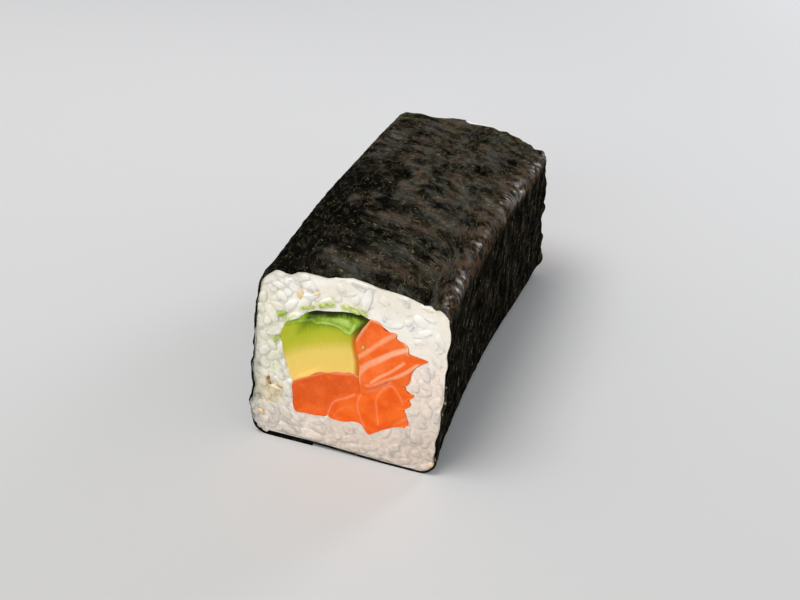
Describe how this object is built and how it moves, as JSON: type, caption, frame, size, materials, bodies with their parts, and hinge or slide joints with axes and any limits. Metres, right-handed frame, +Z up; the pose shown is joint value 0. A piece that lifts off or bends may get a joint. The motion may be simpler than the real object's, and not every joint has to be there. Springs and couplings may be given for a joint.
{
  "type": "salmon and avocado sushi hand roll",
  "caption": "Long square-sided sushi hand roll: rice, avocado and salmon wrapped in a sheet of nori, both cut ends showing the filling.",
  "frame": {"origin": "middle of the flat underside, on the surface the roll rests on", "axes": "+Y along the roll away from the cut face that is seen first, +Z up, +X to that face's right"},
  "size_m": [0.0484, 0.105, 0.0485],
  "materials": {
    "nori": "mottled black-green pressed seaweed, fibrous, half matte with a waxy sheen",
    "rice": "moist cooked rice, warm white, slightly translucent",
    "avocado": "moist cut flesh, green at the skin side and warm yellow inside",
    "salmon": "moist raw fish, orange with pale fat lines"
  },
  "bodies": {
    "root": {"nori": "nori", "rice": "rice", "avocado": "avocado", "salmon_upper": "salmon", "salmon_right": "salmon", "salmon_left": "salmon"}
  },
  "joints": []
}
